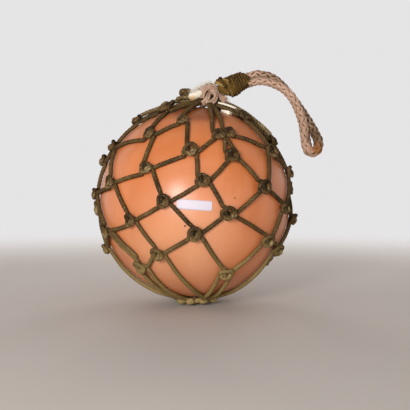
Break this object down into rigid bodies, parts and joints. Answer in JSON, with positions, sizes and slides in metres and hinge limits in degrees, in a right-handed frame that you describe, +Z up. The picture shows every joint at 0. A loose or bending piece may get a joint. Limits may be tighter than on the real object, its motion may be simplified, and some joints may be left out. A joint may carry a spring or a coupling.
{
  "type": "glass float ball",
  "caption": "Round opaque orange float in a knotted olive cord net, standing on the crushed end of the net, with a plaited carrying loop hitched on top.",
  "frame": {"origin": "centre of the flat underside of the crushed net under the ball, on the plane it rests on", "axes": "+Z up; -Y to the front, where the blank label is; +X to the side that the carrying loop hangs over"},
  "size_m": [0.3645, 0.322, 0.3704],
  "materials": {
    "float_glass": "opaque terracotta orange, glossy, faintly streaked",
    "net_cord": "weathered olive laid and braided cord",
    "loop_rope": "pinkish beige plaited rope, rust stained at its eye",
    "whipping_twine": "dark olive waxed twine in tight turns",
    "white_twine": "frayed off-white twine",
    "label_paper": "plain white paper sticker, blank"
  },
  "bodies": {
    "root": {"float_ball": "float_glass", "net_top": "net_cord", "net_course_1": "net_cord", "net_course_2": "net_cord", "net_course_3": "net_cord", "net_course_4": "net_cord", "net_course_5": "net_cord", "net_course_6": "net_cord", "net_foot": "net_cord", "handle_hitch": "loop_rope", "handle_whipping": "whipping_twine", "handle_rope": "loop_rope", "twine_tail_1": "white_twine", "twine_tail_2": "white_twine", "label": "label_paper"}
  },
  "joints": []
}
